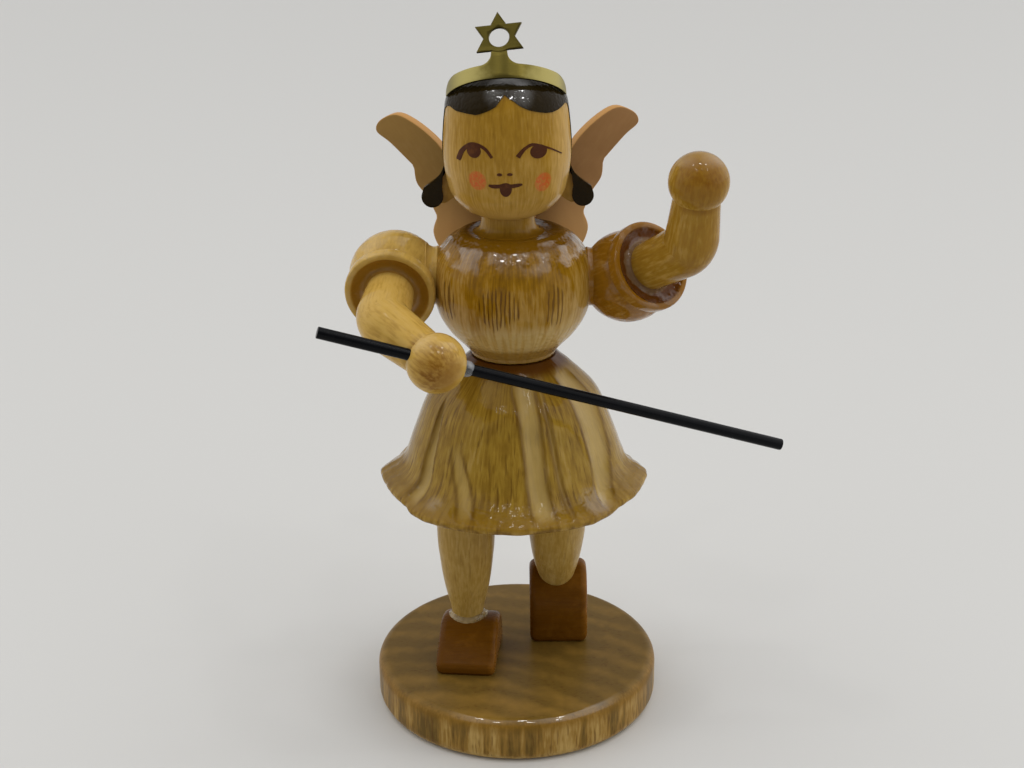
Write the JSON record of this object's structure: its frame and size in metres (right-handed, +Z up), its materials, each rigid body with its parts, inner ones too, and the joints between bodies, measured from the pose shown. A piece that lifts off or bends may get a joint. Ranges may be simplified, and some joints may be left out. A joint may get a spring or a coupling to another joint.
{
  "type": "wooden angel figurine",
  "caption": "Turned and glued wooden angel on a round base, with flat wings, a brass star crown, one raised arm and a thin rod in the other hand.",
  "frame": {"origin": "centre of the base disc's underside, where the figurine stands", "axes": "+Z up; the figure faces -Y, and +X is at its left hand"},
  "size_m": [0.0396, 0.0287, 0.0656],
  "materials": {
    "lacquered_wood": "clear gloss lacquer over pale golden turned wood",
    "base_wood": "clear satin lacquer over golden wood, end grain upwards",
    "shoe_wood": "reddish brown stain under satin lacquer",
    "wing_wood": "matte, sawn and lightly sanded",
    "dowel_wood": "bare beech",
    "brass": "thin sheet, lightly tarnished",
    "black_rod": "satin black paint",
    "set_glue": "clear set glue",
    "hair_paint": "gloss black paint",
    "face_paint": "dark reddish brown paint under lacquer"
  },
  "bodies": {
    "root": {"base_disc": "base_wood", "right_shoe": "shoe_wood", "left_shoe": "shoe_wood", "right_leg": "lacquered_wood", "left_leg": "lacquered_wood", "skirt": "lacquered_wood", "waist_dowel": "dowel_wood", "torso": "lacquered_wood", "head": "lacquered_wood", "crown": "brass", "right_wing": "wing_wood", "left_wing": "wing_wood", "right_shoulder_dowel": "dowel_wood", "left_shoulder_dowel": "dowel_wood", "right_sleeve": "lacquered_wood", "left_sleeve": "lacquered_wood", "right_upper_arm": "lacquered_wood", "left_upper_arm": "lacquered_wood", "right_forearm": "lacquered_wood", "left_forearm": "lacquered_wood", "rod": "black_rod", "rod_glue": "set_glue"}
  },
  "joints": []
}
